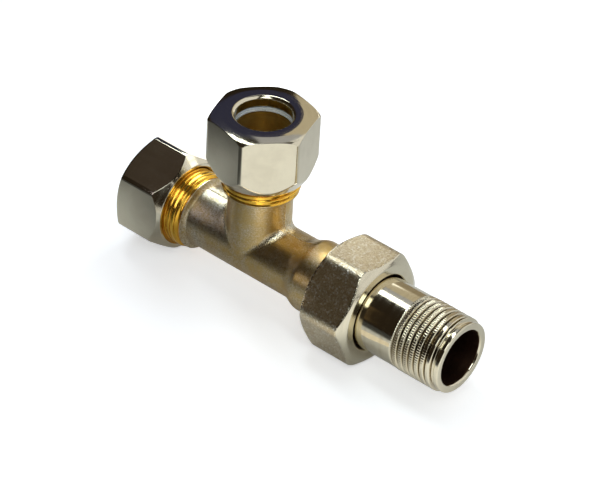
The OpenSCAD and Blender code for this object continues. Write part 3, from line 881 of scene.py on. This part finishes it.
# %% Compression nut
NUT_HALF_W = 12.997
NUT_TURN = 48.2
NUT_ROUNDING = 1.5
NUT_MOUTH_R = 12.297
NUT_MOUTH_ANGLE = 31
NUT_LIP = 0.66
COUNTERSINK = 0.75
RING_ROOM_R = 9.55
RING_HEADROOM = 0.6
THREAD_OVERRUN = 1.5
DOME_R = 9.3
DOME_BEND = 0.036
DOME_RINGS = (0.94, 0.87, 0.78, 0.6, 0.4, 0.2)
CORNER_R = 13.6
CORNER_BEND = 0.35
nut_low, nut_high = span("compression_nut", 2)
ring_low, ring_high = span("cutting_ring", 2)
nut_inner = ring_high + RING_HEADROOM
nut_thread_end = neck_end + THREAD_OVERRUN
neck_bore_r = NECK_CREST_R + THREAD_ROOM
nut_angle, nut_r = hex_outline(NUT_HALF_W, NUT_TURN, NUT_ROUNDING)


def dome_corner(share):
    """Corner of the profile on the dome, at a share of the way from DOME_R out to the outline. The height
    falls with the square of the way out from DOME_R, and again with the square beyond CORNER_R."""
    radius = DOME_R + (nut_r - DOME_R) * share
    soft = DOME_BEND * np.maximum(radius - DOME_R, 0) ** 2
    fall = soft + CORNER_BEND * np.maximum(radius - CORNER_R, 0) ** 2
    return nut_high - fall, radius


nut_outer = soften([
    (nut_low, neck_bore_r + COUNTERSINK, 0, TURNED),
    (nut_low, NUT_MOUTH_R, 0.15, TURNED),
    (cone_line(nut_low, 1, nut_r, NUT_MOUTH_R, NUT_MOUTH_ANGLE), nut_r, 0.3, FLAT),
    (*dome_corner(1.0), 0.22, TURNED),
    *[(*dome_corner(share), 0.3, TURNED) for share in DOME_RINGS],
    (nut_high, DOME_R, 0.3, TURNED),
    (nut_high, PIPE_STOP_R + NUT_LIP, 0.35, TURNED),
    (nut_high - NUT_LIP, PIPE_STOP_R, 0.35, INSIDE),
    (nut_inner, PIPE_STOP_R, 0.15, INSIDE),
    (nut_inner - (RING_ROOM_R - PIPE_STOP_R), RING_ROOM_R, 0.15, INSIDE),
    (nut_thread_end, RING_ROOM_R, 0.15, INSIDE),
    (nut_thread_end, neck_bore_r, 0.1, INSIDE),
    (nut_thread_end - 0.2, neck_bore_r, 0, NUT_THREAD)])
nut_bore = female_thread(nut_thread_end - 0.3, nut_low + COUNTERSINK, NECK_SCREW, nut_angle)
nut_profile = stack_rows(len(nut_angle), nut_outer, nut_bore)
add_piece("compression_nut_skin", [carry_round("z", nut_angle, nut_profile)],
          [nut_flats, nut_turned, nut_turned, brass_branch], "nut", "compression_nut")

# %% [markdown]
# ## The shield cap
# The cap is a blind nut that keeps fingers off the spindle. It is the same hex bar with a flat, closed
# end. The profile starts on the axis at the outer face and ends on the axis at the floor of the well,
# so the two poles close by themselves when the points there are welded.

# %% Shield cap
CAP_TURN = 25.5
CAP_FACE_R = 11.997
CAP_MOUTH_ANGLE = 40
FACE_ANGLE = 60
CAP_FLOOR_T = 2.3
CAP_STEP_T = 5.3
CAP_WELL_R = 7.8
cap_low, cap_high = (-x for x in span("lockshield_cap", 0)[::-1])
cap_step = cap_high - CAP_STEP_T
cap_floor = cap_high - CAP_FLOOR_T
cap_angle, cap_r = hex_outline(NUT_HALF_W, CAP_TURN, NUT_ROUNDING)
cap_outer = soften([
    (cap_high, 0.0, 0, TURNED),
    (cap_high, CAP_FACE_R, 0.25, TURNED),
    (cone_line(cap_high, -1, cap_r, CAP_FACE_R, FACE_ANGLE), cap_r, 0.3, FLAT),
    (cone_line(cap_low, 1, cap_r, NUT_MOUTH_R, CAP_MOUTH_ANGLE), cap_r, 0.08, TURNED),
    (cap_low, NUT_MOUTH_R, 0.15, TURNED),
    (cap_low, neck_bore_r + COUNTERSINK, 0.1, TURNED),
    (cap_low + COUNTERSINK, neck_bore_r, 0, NUT_THREAD)])
cap_bore = female_thread(cap_low + COUNTERSINK, cap_step - 1.0, NECK_SCREW, -cap_angle)
cap_well = soften([
    (cap_step - 0.8, neck_bore_r, 0, INSIDE),
    (cap_step, neck_bore_r, 0.1, INSIDE),
    (cap_step, CAP_WELL_R, 0.15, INSIDE),
    (cap_floor, CAP_WELL_R, 0.3, INSIDE),
    (cap_floor, 0.0, 0, INSIDE)])
along, radius, finish, edge = stack_rows(len(cap_angle), cap_outer, cap_bore, cap_well)
cap_patch = carry_round("x", cap_angle, (-along, radius, finish, edge), closed=False)
add_piece("shield_cap_skin", [cap_patch], [cap_flats, run_turned, bore_painted_shade, brass_run], "cap",
          "lockshield_cap")

# %% [markdown]
# ## The union nut
# The union nut draws the tail against the body. It is forged, not cut from bar: its corners are wide
# and round and its flats keep the blasted grain. The same outline serves with a larger rounding.

# %% Union nut
UNION_HALF_W = 14.5175
UNION_TURN = 54.5
UNION_ROUNDING = 4.0
UNION_FRONT_R = 13.32
UNION_BACK_R = 14.02
UNION_FACE_T = 3.5
UNION_HOLE_R = 10.78
UNION_HOLE_BREAK = 0.3
UNION_MOUTH = 0.4
union_low, union_high = span("union_nut", 0)
union_step = union_high - UNION_FACE_T
union_bore_r = UNION_CREST_R + THREAD_ROOM
union_angle, union_r = hex_outline(UNION_HALF_W, UNION_TURN, UNION_ROUNDING)
union_outer = soften([
    (union_low, union_bore_r + UNION_MOUTH, 0, TURNED),
    (union_low, UNION_BACK_R, 0.15, TURNED),
    (cone_line(union_low, 1, union_r, UNION_BACK_R, FACE_ANGLE), union_r, 0.35, FLAT),
    (cone_line(union_high, -1, union_r, UNION_FRONT_R, FACE_ANGLE), union_r, 0.35, TURNED),
    (union_high, UNION_FRONT_R, 0.25, TURNED),
    (union_high, UNION_HOLE_R + UNION_HOLE_BREAK, 0.15, TURNED),
    (union_high - UNION_HOLE_BREAK, UNION_HOLE_R, 0.15, INSIDE),
    (union_step, UNION_HOLE_R, 0.15, INSIDE),
    (union_step, union_bore_r, 0.15, INSIDE),
    (union_step - 3.0, union_bore_r, 0, NUT_THREAD)])
union_bore = female_thread(union_step - 3.2, union_low + UNION_MOUTH, UNION_SCREW, union_angle)
union_profile = stack_rows(len(union_angle), union_outer, union_bore)
add_piece("union_nut_skin", [carry_round("x", union_angle, union_profile)],
          [union_skin, run_turned, bore_painted_shade, brass_run], "union", "union_nut")

# %% [markdown]
# ## The radiator tail
# The tail is turned from bar, plated and polished. Its thread screws into the radiator over hemp, so the
# crests carry a row of small notches that hold the strands. The notches are a cosine wave round the axis
# that lowers the crest, strongest where the thread is high, and they run out near the lip.

# %% Tail
POLISH, TAIL_THREAD, TAIL_BORE = 0, 1, 2
TAIL_COLLAR_R = 12.0175
TAIL_COLLAR_T = 3.14
SHANK_R = 10.2975
TAIL_CREST_R = 10.4775
TAIL_ROOT_R = 9.45
TAIL_SCREW = (TAIL_ROOT_R, TAIL_CREST_R - 0.02, UNION_PITCH)
TAIL_CUT = 0.55
TAIL_THREAD_L = 13.2
TAIL_LIP_L = 1.9
TAIL_LIP_R = 9.9
NOTCHES = 96
POINTS_PER_NOTCH = 4
NOTCH_DEPTH = 0.3
NOTCH_FOOT = 0.35
NOTCH_RISE = 0.5
NOTCH_STOP = 1.5
NOTCH_FADE = 7.0
RUN_IN = 1.2
tail_start, tail_end = span("tail_piece", 0)
tail_angle = np.linspace(0, 2 * np.pi, NOTCHES * POINTS_PER_NOTCH, endpoint=False)
tail_lip = tail_end - TAIL_LIP_L
tail_thread = tail_lip - TAIL_THREAD_L
tail_front = soften([
    (tail_start + 1.0, TAIL_BORE_R, 0, TAIL_BORE),
    (tail_start, TAIL_BORE_R, 0.2, POLISH),
    (tail_start, TAIL_COLLAR_R, 0.2, POLISH),
    (tail_start + TAIL_COLLAR_T, TAIL_COLLAR_R, 0.2, POLISH),
    (tail_start + TAIL_COLLAR_T, SHANK_R, 0.2, POLISH),
    (tail_thread - 0.9, SHANK_R, 0.2, POLISH),
    (tail_thread - 0.2, SHANK_R, 0, POLISH)])
along, radius, finish, edge = thread_rows(tail_thread, tail_lip + 0.2, TAIL_SCREW, tail_angle, 22,
                                          TAIL_THREAD, fade_out=THREAD_FADE, cut=TAIL_CUT)
radius = SHANK_R + (radius - SHANK_R) * np.clip((along - tail_thread) / RUN_IN, 0, 1)
height = (radius - TAIL_ROOT_R) / (TAIL_CREST_R - TAIL_ROOT_R)
notch = (0.5 - 0.5 * np.cos(NOTCHES * tail_angle)) * np.clip((height - NOTCH_FOOT) / NOTCH_RISE, 0, 1)
notch_reach = np.clip((tail_lip - NOTCH_STOP - along) / NOTCH_FADE, 0, 1)
tail_ridges = (along, radius - NOTCH_DEPTH * notch * notch_reach, finish, edge)
tail_back = soften([
    (tail_lip + 0.35, TAIL_ROOT_R + 0.1, 0, POLISH),
    (tail_lip + 0.7, TAIL_LIP_R, 0.3, POLISH),
    (tail_end, TAIL_LIP_R, 0.9, POLISH),
    (tail_end, TAIL_BORE_R + 0.3, 0.3, POLISH),
    (tail_end - 0.5, TAIL_BORE_R, 0.3, TAIL_BORE),
    (tail_end - 2.0, TAIL_BORE_R, 0, TAIL_BORE)])
tail_profile = stack_rows(len(tail_angle), tail_front, tail_ridges, tail_back)
add_piece("radiator_tail_skin", [carry_round("x", tail_angle, tail_profile)],
          [tail_polish, tail_ridge, bore_painted_shade], "tail", "tail_piece")

# %% [markdown]
# ## The cutting ring
# Inside the compression nut sits a ring of hardened steel whose nose bites into the pipe. Only its upper
# end shows: a bright zinc band on the lead-in, and below it a yellow bore with visible tool marks. It is
# a plain turned profile, with a finish number for the band and one for the bore.

# %% Cutting ring
BAND, RING_INSIDE = 0, 1
RING_OUTER_R = 9.25
RING_LEAD = 0.46
RING_LEAD_L = 1.05
RING_CONE_TAN = math.tan(math.radians(12))
RING_CONE_ROOM = 0.25
RING_POINTS = 180


def ring_cone(z):
    """Radius of the ring's cone at a height: that of the branch's cone less the room between them."""
    return PIPE_STOP_R + (z - neck_end + RING_CONE_L) * RING_CONE_TAN - RING_CONE_ROOM


ring_angle = np.linspace(0, 2 * np.pi, RING_POINTS, endpoint=False)
ring_shoulder = neck_end + 0.6
ring_top_r = PIPE_STOP_R + RING_LEAD
ring_rows = soften([
    (ring_low + 2.0, PIPE_STOP_R, 0, RING_INSIDE),
    (ring_low, PIPE_STOP_R, 0.1, BAND),
    (ring_low, ring_cone(ring_low), 0.1, BAND),
    (ring_shoulder, ring_cone(ring_shoulder), 0.1, BAND),
    (ring_shoulder, RING_OUTER_R, 0.1, BAND),
    (ring_high - (RING_OUTER_R - ring_top_r), RING_OUTER_R, 0.15, BAND),
    (ring_high, ring_top_r, 0.08, BAND),
    (ring_high, ring_top_r - 0.02, 0.08, BAND),
    (ring_high - RING_LEAD_L, PIPE_STOP_R, 0.12, RING_INSIDE),
    (ring_low + 2.2, PIPE_STOP_R, 0, RING_INSIDE)])
ring_profile = stack_rows(RING_POINTS, ring_rows)
add_piece("cutting_ring_skin", [carry_round("z", ring_angle, ring_profile)], [zinc_ring, ring_bore], "ring",
          "cutting_ring")

# %% [markdown]
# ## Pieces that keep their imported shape
# The headwork sits inside the left arm and shows only when the cap is off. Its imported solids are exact, so
# they stay as they are and only get a finish: brass from the lathe, moulded rubber or pressed fibre.


# %% Inner finishes
def soft_seal(name, dark, light, size, rough, depth):
    """Rubber or fibre: a fine grain in colour and height."""
    made, tree, shader, coords, _ = new_finish(name, metallic=0.0)
    grain = use_group(tree, BLAST, {"Vector": coords, "Grain": size})
    cloud = use_group(tree, MOTTLE, {"Vector": coords, "Size": 300.0})
    colour = between(tree, times(tree, grain["Height"], cloud["Mask"]), dark, light)
    shine = number_between(tree, cloud["Mask"], rough, rough * 1.25)
    feed(tree, shader, colour, shine, grain["Height"], depth)
    return made


seal_rubber = soft_seal("seal_rubber", (0.018, 0.018, 0.02, 1), (0.05, 0.05, 0.055, 1), size=2400.0,
                        rough=0.5, depth=0.00001)
fibre = soft_seal("fibre", (0.24, 0.15, 0.10, 1), (0.46, 0.32, 0.22, 1), size=3200.0,
                  rough=0.75, depth=0.00003)
inner_finish = {
    "bonnet": (brass_run, "bare_brass"),
    "regulating_spindle": (brass_run, "bare_brass"),
    "valve_disc": (brass_run, "bare_brass"),
    "washer_screw": (brass_run, "bare_brass"),
    "disc_clip": (zinc_ring, "zinc_steel"),
    "inner_o_ring": (seal_rubber, "seal_rubber"),
    "outer_o_ring": (seal_rubber, "seal_rubber"),
    "seat_washer": (seal_rubber, "seal_rubber"),
    "bonnet_gasket": (fibre, "fibre"),
    "cap_gasket": (fibre, "fibre"),
    "union_gasket": (fibre, "fibre"),
}
for name, (finish, slot) in inner_finish.items():
    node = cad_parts[name]
    node.data.materials.clear()
    node.data.materials.append(finish)
print("inner pieces", len(inner_finish))

# %% [markdown]
# ## Camera
# The photograph was taken from the right, in front and above, through a long lens, so edges that are
# parallel on the valve stay nearly parallel in the picture. The angles, the lens and the place, in
# millimetres from the crossing, were fitted to the outlines of the nuts. The camera's own three axes
# are worked out from the angles, because a target point would leave its roll open.

# %% Camera
AZIMUTH = math.radians(39.2213)
ELEVATION = math.radians(36.6923)
ROLL = math.radians(3.2818)
CAMERA_AT = (412.684, -488.198, 478.176)
LENS = 180.256
SENSOR = 36.0


def stand(name, data, axes, at):
    """Adds a camera or a lamp at a point in metres, its own X, Y and Z along three directions."""
    made = bpy.data.objects.new(name, data)
    scene.collection.objects.link(made)
    turn = np.eye(4)
    turn[:3, :3] = np.stack(axes, axis=1)
    turn[:3, 3] = at
    made.matrix_world = Matrix(turn.tolist())
    return made


level = np.array([math.cos(AZIMUTH), math.sin(AZIMUTH), 0.0])
outward = np.array([math.sin(AZIMUTH), -math.cos(AZIMUTH), 0.0])
back = math.cos(ELEVATION) * outward + math.sin(ELEVATION) * np.array([0.0, 0.0, 1.0])
upright = np.cross(back, level)
to_right = math.cos(ROLL) * level + math.sin(ROLL) * upright
to_top = math.cos(ROLL) * upright - math.sin(ROLL) * level
camera = stand("camera", bpy.data.cameras.new("camera"), [to_right, to_top, back], to_metres(CAMERA_AT))
camera.data.lens = LENS
camera.data.sensor_width = SENSOR
camera.data.sensor_fit = "HORIZONTAL"
camera.data.clip_start = 0.01
bpy.context.scene.camera = camera
print("camera at", np.round(camera.location, 4))

# %% [markdown]
# ## Floor
# Metal shows what stands round it, so most of its look comes from the studio. The floor is white paper.
# To the camera it is white and takes the valve's shadow. The rest of the room sees it as it lies in the
# light: it falls off towards the left, has two soft dark spots beside the cap and the run, and shines in
# the mirror of the metal as a pool on the right. Light Path tells these rays apart.

# %% Floor
FLOOR_HALF = 1.6
PAPER = 0.77
CAMERA_LIFT = 0.55
MIRROR_LIFT = 0.47
FALL_WAY = (0.4, 0.9)
FALL_OFF = (-0.079, -0.046)
FLOOR_LEFT = 0.12
CAP_SHADE = ((1.0, 1.0, 0.0), (-0.038, -0.046, 0.0), (0.006, 0.028), 0.33)
RUN_SHADE = ((0.5, 1.0, 0.0), (-0.006, -0.0245, 0.0), (0.006, 0.017), 0.65)
POOL_WAY = (0.70, 0.71)
POOL = (0.040, 0.066)
POOL_START = (0.015, 0.045)
scene.view_settings.view_transform = "Standard"
floor_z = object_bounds()[0][2]


def stage_grid(name, points, finish):
    """A stage sheet from a grid of points in metres."""
    rows, columns = points.shape[:2]
    mesh = bpy.data.meshes.new(name)
    quads = grid_quads(rows, columns, 0, False, False).reshape(-1, 4)
    mesh.from_pydata(points.reshape(-1, 3).tolist(), [], quads.tolist())
    mesh.materials.append(finish)
    sheet = bpy.data.objects.new(name, mesh)
    scene.collection.objects.link(sheet)
    return sheet


def shade_near(tree, coords, stretch, middle, reach, left):
    """A soft dark spot: the light left grows from left to 1 over the reach of distances from its middle."""
    flat = mapped(tree, coords, Scale=stretch)
    away = place(tree, "ShaderNodeVectorMath", {0: flat, 1: middle}, operation="DISTANCE").outputs["Value"]
    return number_between(tree, ramp(tree, away, *reach), left, 1.0)


def floor_finish():
    """White paper: diffuse, with a glow for camera, mirror and glass rays that brings it to white.
    The light comes from the right, so for all but the camera the paper falls off towards the left."""
    made, tree, surface = blank_material("studio_floor")
    ray = place(tree, "ShaderNodeLightPath").outputs
    coords = place(tree, "ShaderNodeTexCoord").outputs["Object"]
    x, y, _ = place(tree, "ShaderNodeSeparateXYZ", {0: coords}).outputs
    ahead = maths(tree, "ADD", times(tree, x, FALL_WAY[0]), times(tree, y, FALL_WAY[1]))
    lit = number_between(tree, ramp(tree, ahead, *FALL_OFF), FLOOR_LEFT, 1.0)
    shade = times(tree, shade_near(tree, coords, *CAP_SHADE), shade_near(tree, coords, *RUN_SHADE))
    tone = times(tree, maths(tree, "MAXIMUM", times(tree, lit, shade), ray["Is Camera Ray"]), PAPER)
    grey = place(tree, "ShaderNodeCombineColor", {0: tone, 1: tone, 2: tone}).outputs[0]
    paper = place(tree, "ShaderNodeBsdfDiffuse", {"Color": grey}).outputs[0]
    slant = maths(tree, "SUBTRACT", times(tree, x, POOL_WAY[0]), times(tree, y, POOL_WAY[1]))
    pool = times(tree, ramp(tree, slant, *POOL), ramp(tree, x, *POOL_START))
    mirrored = maths(tree, "MAXIMUM", ray["Is Glossy Ray"], ray["Is Transmission Ray"])
    seen = maths(tree, "ADD", times(tree, ray["Is Camera Ray"], CAMERA_LIFT),
                 times(tree, times(tree, mirrored, MIRROR_LIFT), pool))
    glow = place(tree, "ShaderNodeEmission", {"Strength": seen}).outputs[0]
    both = place(tree, "ShaderNodeAddShader", {0: paper, 1: glow})
    tree.links.new(both.outputs[0], surface)
    return made


flat_x, flat_y = np.meshgrid([-FLOOR_HALF, FLOOR_HALF], [-FLOOR_HALF, FLOOR_HALF])
stage_grid("floor", np.stack([flat_x, flat_y, np.full_like(flat_x, floor_z)], axis=-1), floor_finish())
print("floor at", round(floor_z, 4))

# %% [markdown]
# ## Cards
# A dark tent bent round the valve gives the deep bands in the metal, and pale cards in front of it light
# one side each. Small cards close to the valve put one highlight on one face, because only that face
# looks their way, and a dark flag keeps the overhead light off the left of the run. Cards are out of the
# camera's sight, and only the flag casts a shadow.

# %% Cards
TENT_ROWS = 17
TENT_COLUMNS = 33
TENT_CARDS = {
    "dark_tent": (1.2, (0, 360), (0, 90), (0.022, 0.016, 0.010)),
    "back_card_low": (0.2, (96, 121), (2, 30), (0.33, 0.28, 0.2)),
    "back_card_high": (0.2, (96, 121), (30, 60), (0.55, 0.50, 0.39)),
    "back_card_top": (0.2, (96, 136), (60, 78), (0.42, 0.44, 0.50)),
    "dusk_card": (1.15, (122, 176), (24, 56), (0.034, 0.036, 0.075)),
    "right_card": (1.1, (-20, 104), (3, 62), (0.85, 0.87, 0.9)),
}
NEAR_CARDS = {
    "run_card": ((6.2, 7.3, 8.6), (-46, 28, 29), (-24, 28, 29), (-42, 5, 36.5), (-24, 10, 36)),
    "thread_card": (
        (3.4, 3.3, 4.0), (-41.2, -16.5, 36), (-37, -16.5, 36), (-41, -38, 14), (-37, -38, 14)),
    "branch_card": (
        (2.6, 2.3, 1.9), (12.8, -20.5, 8), (18, -14.5, 8), (15.9, -26.5, 8), (20.5, -20.5, 8)),
    "front_card": (
        (0.9, 0.84, 0.7), (22, -29, -14.8), (36, -24, -14.8), (30, -48, -14.8), (44, -40, -14.8)),
    "run_flag": (
        (0.012, 0.010, 0.008), (-36, 5, 38.5), (-16, 11, 38.5), (-46, -26, 38.5), (-16, -24, 38.5)),
    "collar_card": (
        (4.6, 4.9, 5.2), (19.8, 4, 17.4), (22.8, 4, 17.4), (19.8, -3.5, 18.4), (22.8, -3.5, 18.4)),
    "union_front_card": ((0.11, 0.075, 0.035), (0, -48, 51), (14, -48, 51), (0, -68, 11), (14, -68, 11)),
    "union_card": ((2.0, 2.03, 1.98), (-8, 57, 42.5), (15, 57, 42.5), (-8, 31, 44.5), (15, 31, 44.5)),
    "cap_back_card": (
        (1.6, 1.6, 1.55), (-95, 95, -14.8), (-55, 95, -14.8), (-95, 50, -14.8), (-55, 50, -14.8)),
    "cap_card": ((0.05, 0.038, 0.03), (-76, 0, 62), (-53, 0, 62), (-76, -24, 62), (-53, -24, 62)),
}


def studio_card(name, points, glow, shadow=False):
    """A card of even tone that the camera doesn't see."""
    finish, tree, surface = blank_material(name)
    tone = place(tree, "ShaderNodeEmission", {"Color": (*glow, 1.0), "Strength": 1.0})
    tree.links.new(tone.outputs[0], surface)
    card = stage_grid(name, points, finish)
    card.visible_camera = False
    card.visible_shadow = shadow


def tent_points(distance, turn, lift):
    """A grid bent round the valve: turn and lift are the ranges of its direction, in degrees from +X
    towards +Y and from the floor upwards."""
    a = np.radians(np.linspace(*turn, TENT_COLUMNS))[None, :]
    e = np.radians(np.linspace(*lift, TENT_ROWS))[:, None]
    away = np.broadcast_arrays(np.cos(e) * np.cos(a), np.cos(e) * np.sin(a), np.sin(e))
    return np.stack(away, axis=-1) * distance + [0.0, 0.0, floor_z + 0.001]


for name, (distance, turn, lift, glow) in TENT_CARDS.items():
    studio_card(name, tent_points(distance, turn, lift), glow)
for name, (glow, *corners) in NEAR_CARDS.items():
    studio_card(name, to_metres(corners).reshape(2, 2, 3), glow, shadow=name == "run_flag")
print("cards", len(TENT_CARDS) + len(NEAR_CARDS))

# %% [markdown]
# ## Lamps
# Two soft boxes light the valve: a long one overhead draws the bright strip along the tail, and a square
# one in front on the right lights the threads. A plain white world stands behind the floor, where a low
# view looks past its edge.

# %% Lamps
COOL_WHITE = (0.86, 0.95, 1.0)


def soft_box(name, towards, distance, size, long_way, strength):
    """An area lamp that stands at a distance in a direction and faces the crossing, its long side along
    long_way; strength is its brightness as seen from the valve."""
    lamp = bpy.data.lights.new(name, "AREA")
    lamp.shape = "RECTANGLE"
    lamp.size, lamp.size_y = size
    lamp.energy = strength * math.pi * size[0] * size[1]
    lamp.color = COOL_WHITE
    out = unit(np.array(towards, float))
    wide = unit(np.array(long_way, float) - np.dot(long_way, out) * out)
    at = out * distance + [0.0, 0.0, crossing_z * MM]
    stand(name, lamp, [wide, np.cross(out, wide), out], at).visible_camera = False


soft_box("top_box", (-0.245, 0.035, 0.97), 0.8, (0.64, 0.15), (0.9, -0.43, 0.0), 7.5)
soft_box("front_box", (0.38, -0.56, 0.735), 0.9, (0.38, 0.38), (1.0, 0.0, 0.0), 4.4)

world = bpy.data.worlds.new("white_room")
scene.world = world
world.use_nodes = True
sky = world.node_tree.nodes["Background"].inputs
sky["Color"].default_value = (1.0, 1.0, 1.0, 1.0)
sky["Strength"].default_value = 1.0
